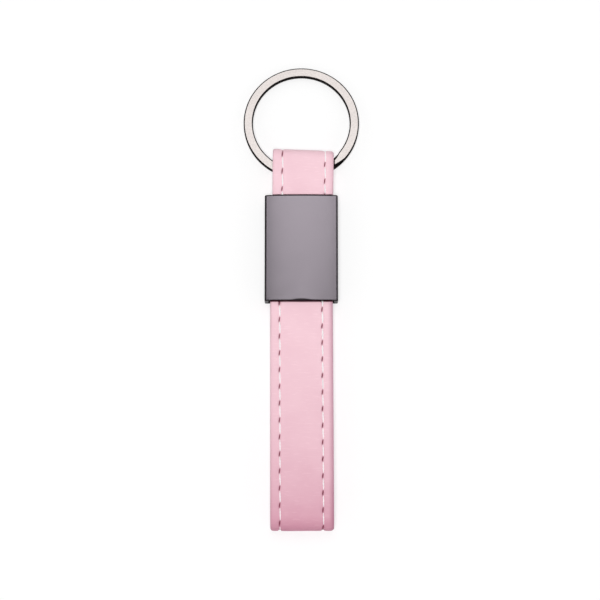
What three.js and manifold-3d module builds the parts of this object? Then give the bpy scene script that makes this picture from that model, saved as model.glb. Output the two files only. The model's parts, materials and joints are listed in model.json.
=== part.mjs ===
// A strap keychain: one sewn leather strip, folded into a short loop that hangs on a flat split ring and
// a long loop below it, with both folds gathered in a metal sleeve.
// Millimetres. The keychain lies on its back: +X across the strap, +Y towards the ring, +Z up.
// The origin is the middle of the sleeve's back face.
import * as THREE from "three";
import { mergeVertices } from "three/addons/utils/BufferGeometryUtils.js";
import Module from "manifold-3d";

const wasm = await Module();
wasm.setup();

// Strap: face leather on the outside of the loops, stiff filler, lining on the inside
const STRAP_WIDTH = 16.5;
const FACE_PLY = 0.7;
const FILLER_PLY = 0.25;
const LINING_PLY = 0.55;
const GLUE_LINE = 0.05;

// Two lockstitch seams, one along each edge: needle thread on the face, bobbin thread on the lining
const SEAM_INSET = 2.6;
const STITCH_PITCH = 4.3;
const NEEDLE_THREAD = 0.36;
const BOBBIN_THREAD = 0.28;
const THREAD_SINK = 0.02;
const STITCH_DIP = 0.06;
const THREAD_CLEARANCE = 0.1;

// Metal sleeve: a flat tube with a cambered front
const SLEEVE_LENGTH = 27.5;
const BACK_WALL = 1.1;
const FRONT_WALL = 0.9;
const SIDE_WALL = 1.0;
const SLEEVE_CAMBER = 0.5;
const SLEEVE_CORNER = 0.8;
const LIP_CHAMFER = 0.3;
const SIDE_CLEARANCE = 0.15;
const STACK_CLEARANCE = 0.1;
const LINING_GAP = 0.1;
const BUTT_GAP = 0.4;

// Where each loop bends, just outside the sleeve
const HANGER_FLEX = 40;
const TAIL_FLEX = 75;
const FLEX_CLEARANCE = 0.25;
const NOSE_GAP = 0.3;

// Long loop below the sleeve
const TAIL_LENGTH = 58.3;
const FOLD_INNER_RADIUS = 1.6;
const BACK_RUN_FALL = 12;

// Short loop above the sleeve
const FLARE_RUN = 3.9;
const EYE_CLEARANCE = 0.55;
const EYE_SEAT = 0.1;

// Flat split ring: one strip wound twice
const RING_OUTER_DIAMETER = 30;
const RING_STRIP_WIDTH = 2.4;
const RING_BORE = RING_OUTER_DIAMETER - 2 * RING_STRIP_WIDTH;
const TURN_THICKNESS = 0.6;
const TURN_GAP = 0.45;
const RING_CHAMFER = 0.15;
const RING_END_ANGLE = -52;
const CROSSING_ARC = 36;
const END_GAP_ARC = 3;

// Fineness of the faceted surfaces
const CURVE_STEPS = 10;
const FOLD_STEPS = 14;
const TURN_STEPS = 60;
const THREAD_SIDES = 6;
const STEPS_PER_STITCH = 4;
const CORNER_STEPS = 4;
const CYLINDER_SIDES = 32;
const OVERCUT = 0.2;

// Strap thickness and the heights of its two runs inside the sleeve
const plyStack = FACE_PLY + FILLER_PLY + LINING_PLY + 2 * GLUE_LINE;
const backMid = BACK_WALL + STACK_CLEARANCE + plyStack / 2;
const frontMid = backMid + plyStack + LINING_GAP;
const stackMid = (backMid + frontMid) / 2;
const stackHalf = plyStack + LINING_GAP / 2;
const openingHeight = 2 * (stackHalf + STACK_CLEARANCE);
const innerOvercut = LINING_GAP / 4;
const fillerDepth = FACE_PLY + GLUE_LINE;
const liningDepth = fillerDepth + FILLER_PLY + GLUE_LINE;
const coreWidth = STRAP_WIDTH - 2 * (FACE_PLY + GLUE_LINE);
const seamX = STRAP_WIDTH / 2 - SEAM_INSET;
const mouth = SLEEVE_LENGTH / 2;

// The strap's rounded end turns in the sleeve's mouth, so its axis stands further out for a wider bend
function flexReach(degrees) {
  const clearHalf = stackHalf + STACK_CLEARANCE + FLEX_CLEARANCE;
  return clearHalf * Math.tan(THREE.MathUtils.degToRad(degrees) / 2);
}
const upperAxis = mouth + flexReach(HANGER_FLEX);
const lowerAxis = -mouth - flexReach(TAIL_FLEX);
const noseRun = stackHalf + NOSE_GAP;

// Ring and the eye that the short loop makes around it; the ring's far edge lies on the table
const ringOuter = RING_OUTER_DIAMETER / 2;
const ringInner = RING_BORE / 2;
const ringHalf = TURN_THICKNESS + TURN_GAP / 2;
const eyeRadius = ringHalf + EYE_CLEARANCE;
const eyeZ = plyStack + eyeRadius;
const barInnerEdge = Math.sqrt(ringInner ** 2 - (STRAP_WIDTH / 2) ** 2);
const seatDepth = (ringOuter - barInnerEdge) / 4;
const barSeat = barInnerEdge + seatDepth;
const ringSpan = barSeat + ringOuter;
const ringTilt = Math.asin(eyeZ / Math.hypot(ringSpan, ringHalf)) - Math.atan2(ringHalf, ringSpan);
const ringY = upperAxis + FLARE_RUN + ringOuter * Math.cos(ringTilt);
const ringZ = eyeZ - barSeat * Math.sin(ringTilt);
const barHeight = ringHalf + seatDepth * Math.sin(ringTilt);
const seatReach = Math.sqrt((eyeRadius - EYE_SEAT) ** 2 - barHeight ** 2);
const bightY = ringY - barInnerEdge * Math.cos(ringTilt) - seatReach;
const bightMid = eyeRadius + plyStack / 2;

// Long loop's fold
const floorMid = plyStack / 2;
const foldMid = FOLD_INNER_RADIUS + plyStack / 2;
const foldY = -mouth - TAIL_LENGTH + FOLD_INNER_RADIUS + plyStack;

// Local x, y, z of an extrusion become Y, Z, X, so a side profile is extruded across the strap
const acrossStrap = new THREE.Matrix4().makeBasis(
  new THREE.Vector3(0, 1, 0),
  new THREE.Vector3(0, 0, 1),
  new THREE.Vector3(1, 0, 0),
);

function solidOf(geometry) {
  geometry.deleteAttribute("normal");
  geometry.deleteAttribute("uv");
  const merged = mergeVertices(geometry);
  const vertProperties = new Float32Array(merged.attributes.position.array);
  const triVerts = new Uint32Array(merged.index.array);
  return new wasm.Manifold(new wasm.Mesh({ numProp: 3, vertProperties, triVerts }));
}

function geometryOf(solid) {
  const mesh = solid.getMesh();
  const geometry = new THREE.BufferGeometry();
  geometry.setAttribute("position", new THREE.BufferAttribute(mesh.vertProperties, mesh.numProp));
  geometry.setIndex(new THREE.BufferAttribute(mesh.triVerts, 1));
  geometry.computeVertexNormals();
  return geometry;
}

// Closed skin over a row of like sections, each wound anticlockwise about the direction of travel
function sweep(sections) {
  const sides = sections[0].length;
  const last = (sections.length - 1) * sides;
  const faces = [];
  for (let start = 0; start < last; start += sides) {
    for (let i = 0; i < sides; i++) {
      const next = (i + 1) % sides;
      faces.push(start + i, start + next, start + sides + next);
      faces.push(start + i, start + sides + next, start + sides + i);
    }
  }
  for (let i = 1; i < sides - 1; i++) {
    faces.push(0, i + 1, i);
    faces.push(last, last + i, last + i + 1);
  }
  const geometry = new THREE.BufferGeometry().setFromPoints(sections.flat());
  geometry.setIndex(faces);
  geometry.computeVertexNormals();
  return geometry;
}

function line(y0, z0, y1, z1) {
  return new THREE.LineCurve(new THREE.Vector2(y0, z0), new THREE.Vector2(y1, z1));
}

// Level at both ends, with its climb or fall between them
function easedRun(y0, z0, y1, z1) {
  const half = (y0 + y1) / 2;
  const points = [[y0, z0], [half, z0], [half, z1], [y1, z1]];
  return new THREE.CubicBezierCurve(...points.map(([y, z]) => new THREE.Vector2(y, z)));
}

function halfTurn(y, z, radius, from) {
  return new THREE.EllipseCurve(y, z, radius, radius, from, from - Math.PI, true);
}

// The strap's mid-line in side view, as points with their outward direction, on the left of travel
function trace(curves) {
  const trail = [];
  for (const curve of curves) {
    const steps = curve.isLineCurve ? 1 : curve.isEllipseCurve ? FOLD_STEPS : CURVE_STEPS;
    for (let i = trail.length ? 1 : 0; i <= steps; i++) {
      const along = curve.getTangent(i / steps);
      trail.push({ point: curve.getPoint(i / steps), outward: new THREE.Vector2(-along.y, along.x) });
    }
  }
  return trail;
}

function atDepth({ point, outward }, depth) {
  return point.clone().addScaledVector(outward, plyStack / 2 - depth);
}

// One ply, or a cut into one, between two depths below the strap's outer face
function band(trail, from, to, width, x = 0) {
  const near = trail.map((step) => atDepth(step, from));
  const far = trail.map((step) => atDepth(step, to)).reverse();
  const geometry = new THREE.ExtrudeGeometry(new THREE.Shape([...near, ...far]), {
    depth: width,
    bevelEnabled: false,
  });
  geometry.applyMatrix4(acrossStrap).translate(x - width / 2, 0, 0);
  return solidOf(geometry);
}

function grooveDepth(thread) {
  return THREAD_SINK + STITCH_DIP + thread + THREAD_CLEARANCE;
}

function cutGrooves(ply, trail, from, to, thread) {
  const width = thread + 2 * THREAD_CLEARANCE;
  return [-seamX, seamX].reduce((cut, x) => cut.subtract(band(trail, from, to, width, x)), ply);
}

// Face leather is turned down over both edges of the filler and the lining
function facePly(trail) {
  const core = band(trail, FACE_PLY, plyStack + innerOvercut, STRAP_WIDTH - 2 * FACE_PLY);
  const turned = band(trail, 0, plyStack, STRAP_WIDTH).subtract(core);
  return cutGrooves(turned, trail, -OVERCUT, grooveDepth(NEEDLE_THREAD), NEEDLE_THREAD);
}

function fillerPly(trail) {
  return band(trail, fillerDepth, fillerDepth + FILLER_PLY, coreWidth);
}

function liningPly(trail) {
  const ply = band(trail, liningDepth, plyStack, coreWidth);
  const floor = plyStack - grooveDepth(BOBBIN_THREAD);
  return cutGrooves(ply, trail, floor, plyStack + innerOvercut, BOBBIN_THREAD);
}

// Everything beyond a bend's axis, with a rounded nose that turns about it
function loopSpace(axis, outwards) {
  const reach = SLEEVE_LENGTH + TAIL_LENGTH + RING_OUTER_DIAMETER;
  const shape = new THREE.Shape();
  shape.moveTo(axis, stackMid - stackHalf);
  shape.absarc(axis, stackMid, stackHalf, -Math.PI / 2, Math.PI / 2, outwards > 0);
  shape.lineTo(axis, stackMid + reach);
  shape.lineTo(axis + outwards * reach, stackMid + reach);
  shape.lineTo(axis + outwards * reach, stackMid - reach);
  shape.lineTo(axis, stackMid - reach);
  const width = STRAP_WIDTH + 2 * OVERCUT;
  const geometry = new THREE.ExtrudeGeometry(shape, {
    depth: width,
    bevelEnabled: false,
    curveSegments: CYLINDER_SIDES / 2,
  });
  geometry.applyMatrix4(acrossStrap).translate(-width / 2, 0, 0);
  return solidOf(geometry);
}

// Room for a loop's nose in the strap that stays inside the sleeve
function noseSeat(axis) {
  const radius = stackHalf + NOSE_GAP;
  const geometry = new THREE.CylinderGeometry(radius, radius, STRAP_WIDTH + 2 * OVERCUT, CYLINDER_SIDES);
  geometry.rotateZ(Math.PI / 2).translate(0, axis, stackMid);
  return solidOf(geometry);
}

// Waves down into a needle hole at the end of each stitch and lies just under the surface between
function seamThread(trail, x, diameter, onLining) {
  const lengths = [0];
  for (let i = 1; i < trail.length; i++) {
    lengths.push(lengths[i - 1] + trail[i].point.distanceTo(trail[i - 1].point));
  }
  const start = lengths[1];
  const run = lengths[lengths.length - 2] - start;
  const steps = Math.round(run / STITCH_PITCH) * STEPS_PER_STITCH;
  const sections = [];
  for (let step = 0; step <= steps; step++) {
    const at = start + (run * step) / steps;
    const i = Math.min(lengths.findIndex((length) => length > at), lengths.length - 2);
    const share = (at - lengths[i - 1]) / (lengths[i] - lengths[i - 1]);
    const point = trail[i - 1].point.clone().lerp(trail[i].point, share);
    const outward = trail[i - 1].outward.clone().lerp(trail[i].outward, share).normalize();
    const wave = 0.5 + 0.5 * Math.cos((2 * Math.PI * step) / STEPS_PER_STITCH);
    const sunk = THREAD_SINK + STITCH_DIP * wave + diameter / 2;
    const centre = atDepth({ point, outward }, onLining ? plyStack - sunk : sunk);
    const section = [];
    for (let side = 0; side < THREAD_SIDES; side++) {
      const angle = (2 * Math.PI * side) / THREAD_SIDES;
      const rise = (diameter / 2) * Math.cos(angle);
      const aside = (diameter / 2) * Math.sin(angle);
      section.push(new THREE.Vector3(x + aside, centre.x + outward.x * rise, centre.y + outward.y * rise));
    }
    sections.push(section);
  }
  return sweep(sections);
}

function sleeveShell() {
  const half = STRAP_WIDTH / 2 + SIDE_CLEARANCE + SIDE_WALL;
  const inner = half - SIDE_WALL;
  const ceiling = BACK_WALL + openingHeight;
  const shoulder = ceiling + FRONT_WALL;
  const c = SLEEVE_CORNER;
  const outline = new THREE.Shape();
  outline.moveTo(-half + c, 0);
  outline.lineTo(half - c, 0);
  outline.absarc(half - c, c, c, -Math.PI / 2, 0, false);
  outline.lineTo(half, shoulder - c);
  outline.absarc(half - c, shoulder - c, c, 0, Math.PI / 2, false);
  outline.quadraticCurveTo(0, shoulder + 2 * SLEEVE_CAMBER, -half + c, shoulder);
  outline.absarc(-half + c, shoulder - c, c, Math.PI / 2, Math.PI, false);
  outline.lineTo(-half, c);
  outline.absarc(-half + c, c, c, Math.PI, 1.5 * Math.PI, false);
  const opening = new THREE.Path();
  opening.moveTo(-inner, BACK_WALL);
  opening.lineTo(inner, BACK_WALL);
  opening.lineTo(inner, ceiling);
  opening.lineTo(-inner, ceiling);
  opening.closePath();
  outline.holes.push(opening);
  const geometry = new THREE.ExtrudeGeometry(outline, {
    depth: SLEEVE_LENGTH - 2 * LIP_CHAMFER,
    curveSegments: CORNER_STEPS,
    bevelThickness: LIP_CHAMFER,
    bevelSize: LIP_CHAMFER,
    bevelOffset: -LIP_CHAMFER,
    bevelSegments: 1,
  });
  return geometry.rotateX(Math.PI / 2).translate(0, mouth - LIP_CHAMFER, 0);
}

// The strip's two turns lie one on the other, and it drops from the upper to the lower inside the eye
function ringLevel(travelled) {
  const from = 360 - END_GAP_ARC - CROSSING_ARC;
  const fall = THREE.MathUtils.smoothstep(travelled, from, from + CROSSING_ARC);
  return (0.5 - fall) * (TURN_THICKNESS + TURN_GAP);
}

function ringSections() {
  const low = ringInner;
  const high = ringOuter;
  const half = TURN_THICKNESS / 2;
  const c = RING_CHAMFER;
  const outline = [
    [-half, high - c], [-half, low + c], [-half + c, low], [half - c, low],
    [half, low + c], [half, high - c], [half - c, high], [-half + c, high],
  ];
  const wound = 720 - CROSSING_ARC - 2 * END_GAP_ARC;
  const steps = Math.round((wound * TURN_STEPS) / 360);
  const sections = [];
  for (let step = 0; step <= steps; step++) {
    const travelled = (wound * step) / steps;
    const angle = THREE.MathUtils.degToRad(RING_END_ANGLE + travelled);
    const level = ringLevel(travelled);
    sections.push(outline.map(([axial, radial]) => new THREE.Vector3(
      radial * Math.cos(angle),
      radial * Math.sin(angle),
      axial + level,
    )));
  }
  return sections;
}

// Least distance between points of the strip that lie more than half a turn apart along it
function leastTurnGap(sections) {
  let least = Infinity;
  for (let i = 0; i < sections.length; i++) {
    for (let j = i + TURN_STEPS / 2; j < sections.length; j++) {
      for (const a of sections[i]) {
        for (const b of sections[j]) {
          least = Math.min(least, a.distanceTo(b));
        }
      }
    }
  }
  return least;
}

function addPart(group, name, geometry, color, roughness, metalness) {
  const mesh = new THREE.Mesh(geometry, new THREE.MeshStandardMaterial({ color, roughness, metalness }));
  mesh.name = name;
  group.add(mesh);
}

function addPlies(group, name, trail, fitted) {
  addPart(group, `${name}_face`, geometryOf(fitted(facePly(trail))), 0xf3c8d4, 0.5, 0);
  addPart(group, `${name}_filler`, geometryOf(fitted(fillerPly(trail))), 0xd8cbbd, 0.9, 0);
  addPart(group, `${name}_lining`, geometryOf(fitted(liningPly(trail))), 0xeab9c7, 0.6, 0);
}

function addSeams(group, name, trail) {
  for (const [side, x] of [["left", -seamX], ["right", seamX]]) {
    const needle = seamThread(trail, x, NEEDLE_THREAD, false);
    const bobbin = seamThread(trail, x, BOBBIN_THREAD, true);
    addPart(group, `${name}_needle_thread_${side}`, needle, 0xf8f2f0, 0.7, 0);
    addPart(group, `${name}_bobbin_thread_${side}`, bobbin, 0xf8f2f0, 0.7, 0);
  }
}

// Sleeve with the strap that it holds: a whole run in front, two ends that meet behind it
function sleeveGroup() {
  const group = new THREE.Group();
  const seats = noseSeat(upperAxis).add(noseSeat(lowerAxis));
  const fitted = (ply) => ply.subtract(seats);
  addPart(group, "sleeve", sleeveShell(), 0x97909a, 0.35, 1);
  addPlies(group, "front_run", trace([line(-mouth, frontMid, mouth, frontMid)]), fitted);
  addPlies(group, "upper_end", trace([line(mouth, backMid, BUTT_GAP / 2, backMid)]), fitted);
  addPlies(group, "lower_end", trace([line(-BUTT_GAP / 2, backMid, -mouth, backMid)]), fitted);
  return group;
}

// Short loop: opens just above the sleeve into an eye for the ring
function hangerGroup() {
  const group = new THREE.Group();
  const flareEnd = upperAxis + FLARE_RUN;
  const top = eyeZ + bightMid;
  const bottom = eyeZ - bightMid;
  const trail = trace([
    line(upperAxis - noseRun, frontMid, upperAxis, frontMid),
    easedRun(upperAxis, frontMid, flareEnd, top),
    line(flareEnd, top, bightY, top),
    halfTurn(bightY, eyeZ, bightMid, Math.PI / 2),
    line(bightY, bottom, flareEnd, bottom),
    easedRun(flareEnd, bottom, upperAxis, backMid),
    line(upperAxis, backMid, upperAxis - noseRun, backMid),
  ]);
  const space = loopSpace(upperAxis, 1);
  addPlies(group, "hanger", trail, (ply) => ply.intersect(space));
  addSeams(group, "hanger", trail);
  return group;
}

// Long loop: its back run settles on the table, its front run climbs slowly to the fold at the foot
function tailGroup() {
  const group = new THREE.Group();
  const settled = lowerAxis - BACK_RUN_FALL;
  const top = floorMid + 2 * foldMid;
  const trail = trace([
    line(lowerAxis + noseRun, backMid, lowerAxis, backMid),
    easedRun(lowerAxis, backMid, settled, floorMid),
    line(settled, floorMid, foldY, floorMid),
    halfTurn(foldY, floorMid + foldMid, foldMid, -Math.PI / 2),
    easedRun(foldY, top, lowerAxis, frontMid),
    line(lowerAxis, frontMid, lowerAxis + noseRun, frontMid),
  ]);
  const space = loopSpace(lowerAxis, -1);
  addPlies(group, "tail", trail, (ply) => ply.intersect(space));
  addSeams(group, "tail", trail);
  return group;
}

function ringGroup() {
  const group = new THREE.Group();
  const sections = ringSections();
  console.log(`split ring: least gap between its turns ${leastTurnGap(sections).toFixed(3)} mm`);
  addPart(group, "split_ring", sweep(sections), 0xd9d4d4, 0.3, 1);
  group.position.set(0, ringY, ringZ);
  group.rotation.x = -ringTilt;
  return group;
}

const keychain = new THREE.Group();
keychain.add(sleeveGroup(), hangerGroup(), tailGroup(), ringGroup());

export default keychain;
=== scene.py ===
"""Leather strap keychain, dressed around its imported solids.

The strap's two loops, their seams, the metal sleeve and the split ring are built here as detailed pieces
that stand where the solids stand. Metres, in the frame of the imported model: +X across the strap,
+Y towards the ring, +Z up from the table.
"""

import json
import math

import bmesh
import bpy
import numpy as np
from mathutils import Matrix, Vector


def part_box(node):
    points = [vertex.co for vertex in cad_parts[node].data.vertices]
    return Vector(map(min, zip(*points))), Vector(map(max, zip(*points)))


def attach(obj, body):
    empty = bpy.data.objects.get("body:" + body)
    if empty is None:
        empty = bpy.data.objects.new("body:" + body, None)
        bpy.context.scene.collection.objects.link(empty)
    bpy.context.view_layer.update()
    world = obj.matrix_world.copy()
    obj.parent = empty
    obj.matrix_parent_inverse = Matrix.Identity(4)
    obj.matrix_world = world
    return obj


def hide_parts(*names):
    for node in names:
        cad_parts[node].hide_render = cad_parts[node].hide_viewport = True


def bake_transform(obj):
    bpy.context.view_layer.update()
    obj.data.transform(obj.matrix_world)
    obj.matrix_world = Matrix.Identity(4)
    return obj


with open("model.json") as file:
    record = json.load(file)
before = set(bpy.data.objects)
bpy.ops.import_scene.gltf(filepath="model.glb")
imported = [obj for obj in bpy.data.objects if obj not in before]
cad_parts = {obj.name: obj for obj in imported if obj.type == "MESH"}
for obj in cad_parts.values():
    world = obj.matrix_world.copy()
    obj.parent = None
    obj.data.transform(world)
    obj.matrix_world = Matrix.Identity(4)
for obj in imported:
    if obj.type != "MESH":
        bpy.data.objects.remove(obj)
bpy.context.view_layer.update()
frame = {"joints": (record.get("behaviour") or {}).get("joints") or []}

bl_info = {
    "name": "Leather Strap Keychain",
    "version": (1, 0, 0),
    "blender": (4, 5, 0),
    "location": "3D View > Sidebar > Keychain",
    "description": "Builds the sewn strap, sleeve and split ring of a leather keychain",
    "category": "Add Mesh",
}

MM = 0.001
JOINTS = {joint["name"]: joint for joint in frame["joints"]}
UPPER_AXIS = Vector(JOINTS["hanger_flex"]["pos_m"])
LOWER_AXIS = Vector(JOINTS["tail_flex"]["pos_m"])
RING_CENTRE = Vector(JOINTS["ring_turn"]["pos_m"])
RING_AXIS = Vector(JOINTS["ring_turn"]["axis"]).normalized()

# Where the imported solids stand
SLEEVE_LOW, SLEEVE_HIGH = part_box("sleeve")
FRONT_LOW, FRONT_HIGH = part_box("front_run_face")
BACK_LOW, BACK_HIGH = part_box("lower_end_face")
TAIL_LOW, TAIL_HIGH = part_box("tail_face")
HANGER_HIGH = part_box("hanger_face")[1]
RING_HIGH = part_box("split_ring")[1]
MOUTH = SLEEVE_HIGH.y
FRONT_MID = (FRONT_LOW.z + FRONT_HIGH.z) / 2
BACK_MID = (BACK_LOW.z + BACK_HIGH.z) / 2

# The strap starts to bend just outside the sleeve, and each loop has its own length of bend
BEND_START = 0.15 * MM
UPPER_BEND = {
    "start": (0, MOUTH + BEND_START, UPPER_AXIS.z),
    "end": (0, MOUTH + 4.6 * MM, UPPER_AXIS.z),
}
LOWER_BEND = {
    "start": (0, -MOUTH - BEND_START, LOWER_AXIS.z),
    "end": (0, -MOUTH - 5.6 * MM, LOWER_AXIS.z),
}

# Steps along the strap: the leather's, and the threads', which twist and so need closer ones
LEATHER_STEP = 0.25 * MM
THREAD_STEP = 0.12 * MM


def linear(hex_colour):
    """Linear red, green and blue of an sRGB hex colour."""
    values = [int(hex_colour[i:i + 2], 16) / 255 for i in (1, 3, 5)]
    return tuple(v / 12.92 if v <= 0.04045 else ((v + 0.055) / 1.055) ** 2.4 for v in values)


def length(name, description, default):
    return bpy.props.FloatProperty(
        name=name, description=description, default=default, precision=5, unit="LENGTH",
        subtype="DISTANCE",
    )


def lengths(name, description, default):
    return bpy.props.FloatVectorProperty(
        name=name, description=description, default=default, size=len(default), precision=5, unit="LENGTH"
    )


def colour(name, description, hex_colour):
    return bpy.props.FloatVectorProperty(
        name=name, description=description, default=linear(hex_colour), size=3, min=0, max=1,
        subtype="COLOR",
    )


def factors(name, description, default):
    return bpy.props.FloatVectorProperty(
        name=name, description=description, default=default, size=len(default)
    )


class StrapSettings(bpy.types.PropertyGroup):
    """Sizes and colours of the folded strap."""

    width: length("Width", "Across the strap, edge to edge", TAIL_HIGH.x - TAIL_LOW.x)
    thickness: length("Thickness", "Face leather, filler and lining together", FRONT_HIGH.z - FRONT_LOW.z)
    face_ply: length("Face ply", "Face leather and filler above the lining", 0.98 * MM)
    edge_rolls: lengths("Edge rolls", "How far in the two edges round off", (0.5 * MM, 0.85 * MM))
    eye_edge_rolls: lengths("Eye edge rolls", "The same on the short loop", (0.3 * MM, 0.5 * MM))
    turned_strip: length("Turned strip", "Face leather that shows beside the lining", 0.75 * MM)
    back_run_fall: length("Back run fall", "Length over which the back run settles on the table", 12 * MM)
    flare_end: length("Flare end", "Where the short loop has opened for the ring", 19.9 * MM)
    swells: lengths("Swells", "How far the short and long loop swell at the sleeve", (1 * MM, 0.45 * MM))
    tail_swell_reach: length("Long loop's swell", "How far the swell runs down the long loop", 14 * MM)
    fold_reach: length("Fold reach", "From the foot to where the front run starts to turn down", 5 * MM)
    narrowings: lengths("Narrowings", "How much the short and long loop draw in", (0.8 * MM, 0.46 * MM))
    shifts: lengths("Shifts", "How far they sit to the right in the sleeve", (0.38 * MM, 0.04 * MM))
    leans: factors("Leans", "Sideways lean of the short and long loop, to the right", (0.012, 0.003))
    eye_slant: bpy.props.FloatProperty(
        name="Eye slant", description="Fall of the short loop's top edge, left to right", default=0.042
    )
    face_colour: colour("Face colour", "Dyed leather round the ring", "#F6D1DA")
    # Painted shade: the colour that the long loop darkens to towards its foot
    foot_shade_colour: colour("Deep colour", "The same leather where it is handled, at the foot", "#C9899E")
    lining_colour: colour("Lining colour", "Leather on the inside of the loops", "#E3AFBF")
    # Needle holes, dark partly from their raw leather and partly painted shade, and the painted shadow
    # under the sleeve's lower edge
    hole_and_shade_colour: colour("Slit colour", "Inside of a needle hole", "#76193A")
    # Painted shade on the strap's edges, most on the right, and round the fold
    edge_shade_colour: colour("Burnish colour", "Tint of the rubbed edges", "#CDB3C4")
    edge_shade_reach: lengths("Burnish reach", "From the left and right edges", (0.7 * MM, 1.33 * MM))
    edge_shade: factors("Burnish", "Strength on the left and right edges", (0.15, 0.8))
    eye_edge_shade: factors("Eye burnish", "The same on the short loop", (0.1, 0.35))


class SeamSettings(bpy.types.PropertyGroup):
    """Sizes and colour of the two lockstitch seams."""

    tail_insets: lengths("Long loop's insets", "From its edges to the seams", (2.42 * MM, 2.88 * MM))
    hanger_insets: lengths("Short loop's insets", "The same on the short loop", (2.59 * MM, 2.41 * MM))
    pitches: lengths("Pitches", "From hole to hole, left and right", (4.3 * MM, 4.25 * MM))
    stitch: length("Stitch", "Thread that shows between two needle holes", 3.1 * MM)
    needle_thread: length("Needle thread", "Diameter of the thread on the face", 0.54 * MM)
    bobbin_thread: length("Bobbin thread", "Diameter of the thread on the lining", 0.28 * MM)
    lay: length("Lay", "Length of one full twist of the thread", 1.5 * MM)
    thread_shift: length("Thread shift", "How far a stitch lies to the right of its holes", 0.15 * MM)
    slant: length("Slant", "Sideways step of a stitch from its middle to its end", -0.05 * MM)
    tail_first_holes: lengths(
        "Long loop's first holes", "From the sleeve, left and right", (0.42 * MM, 2.15 * MM)
    )
    hanger_first_holes: lengths(
        "Short loop's first holes", "From the sleeve, left and right", (2 * MM, 4.1 * MM)
    )
    tail_slits: lengths("Long loop's slits", "Half-width of its holes", (0.165 * MM, 0.185 * MM))
    hanger_slits: lengths("Short loop's slits", "The same on the short loop", (0.18 * MM, 0.16 * MM))
    thread_colour: colour("Thread colour", "Spun polyester thread", "#FFF8FA")


class SleeveSettings(bpy.types.PropertyGroup):
    """Sizes and colours of the metal sleeve."""

    side_wall: length("Side wall", "Thickness beside the strap", 1 * MM)
    back_wall: length("Back wall", "Thickness under the strap", 1.1 * MM)
    front_wall: length("Front wall", "Thickness over the strap, at its sides", 0.9 * MM)
    camber: length("Camber", "Rise of the front towards its middle", 0.5 * MM)
    corner: length("Corner", "Radius of the long outer edges", 0.55 * MM)
    lip: length("Lip", "Radius of the outer edge at the upper mouth", 0.4 * MM)
    lower_lip: length("Lower lip", "Radius of the outer edge at the lower mouth", 0.15 * MM)
    inner_lip: length("Inner lip", "Radius of the inner edges at the mouths", 0.2 * MM)
    # Painted shade: a dark line along the lower mouth
    dark_edge: length("Dark edge", "Dark plating beside the lower mouth", 0.03 * MM)
    dip: length("Dip", "How much further the dark edge reaches in its middle", 0.25 * MM)
    face_colour: colour("Face colour", "Gunmetal plating on the front", "#8A838A")
    # Painted dark reflection and shade on the edges, walls and bore
    reflection_shade_colour: colour("Rim colour", "Darker plating on the edges and walls", "#1A1619")


class RingSettings(bpy.types.PropertyGroup):
    """Sizes and colours of the flat split ring."""

    outer_radius: length("Outer radius", "To the outside of the strip", RING_HIGH.x)
    strip_width: length("Strip width", "Across the flat of the strip", 2.4 * MM)
    height: length("Height", "Both turns together", 1.45 * MM)
    turn_gap: length("Turn gap", "Hairline between the two turns", 0.09 * MM)
    bevel: length("Bevel", "Width of the dark bevel along the strip's edges", 0.27 * MM)
    edge: length("Edge", "Rounding of the strip's edges", 0.12 * MM)
    face_colour: colour("Face colour", "Satin nickel plating on the flats", "#CBC4C1")
    # Painted dark reflection and shade on the strip's edges and walls
    reflection_shade_colour: colour("Rim colour", "Plating on the strip's edges", "#1E1A1B")


class StageSettings(bpy.types.PropertyGroup):
    """Camera, light and floor."""

    look_at: lengths("Look at", "Point in the middle of the picture", (-0.34 * MM, -13.3 * MM, 3.5 * MM))
    distance: length("Distance", "From the camera to that point", 500 * MM)
    elevation: bpy.props.FloatProperty(
        name="Elevation", description="Of the camera above the table", default=math.radians(81.5),
        subtype="ANGLE",
    )
    view_width: length("View width", "Seen across the picture at that point", 153.6 * MM)
    floor_colour: colour("Floor colour", "Matt white card", "#FDFDFD")
    floor_glow: bpy.props.FloatProperty(
        name="Floor glow", description="How much of the shadow on the card is filled in", default=0.5,
        subtype="FACTOR",
    )


def smoothstep(low, high, value):
    """Eases from 0 at low to 1 at high, also where high is the smaller."""
    share = np.clip((value - low) / (high - low), 0, 1)
    return share * share * (3 - 2 * share)


# Strap paths, in side view: y along the strap and z up


def straight(y0, z0, y1, z1, steps=40):
    return np.column_stack([np.linspace(y0, y1, steps), np.linspace(z0, z1, steps)])


def eased(y0, z0, y1, z1, steps=240):
    """Level at both ends, with its climb or fall between them."""
    share = np.linspace(0, 1, steps)
    return np.column_stack([y0 + (y1 - y0) * share, z0 + (z1 - z0) * smoothstep(0, 1, share)])


def half_turn(y, z, reach, radius, start, power=2.0, steps=240):
    """Half an oval; a power above 2 keeps its sides flat for longer."""
    angle = np.linspace(start, start - math.pi, steps)
    along = np.sign(np.cos(angle)) * np.abs(np.cos(angle)) ** (2 / power)
    up = np.sign(np.sin(angle)) * np.abs(np.sin(angle)) ** (2 / power)
    return np.column_stack([y + reach * along, z + radius * up])


def tail_curves(strap):
    """Long loop: back run out of the sleeve, fold at the foot, front run home."""
    low = strap.thickness / 2
    radius = TAIL_HIGH.z / 2 - low
    fold_y = TAIL_LOW.y + strap.fold_reach
    fold_z = TAIL_HIGH.z / 2
    settled = LOWER_AXIS.y - strap.back_run_fall
    return [
        straight(BACK_HIGH.y, BACK_MID, LOWER_AXIS.y, BACK_MID),
        eased(LOWER_AXIS.y, BACK_MID, settled, low),
        straight(settled, low, fold_y, low),
        half_turn(fold_y, fold_z, strap.fold_reach - low, radius, -math.pi / 2),
        eased(fold_y, fold_z + radius, LOWER_AXIS.y, FRONT_MID, 480),
        straight(LOWER_AXIS.y, FRONT_MID, 0, FRONT_MID),
    ]


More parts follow.
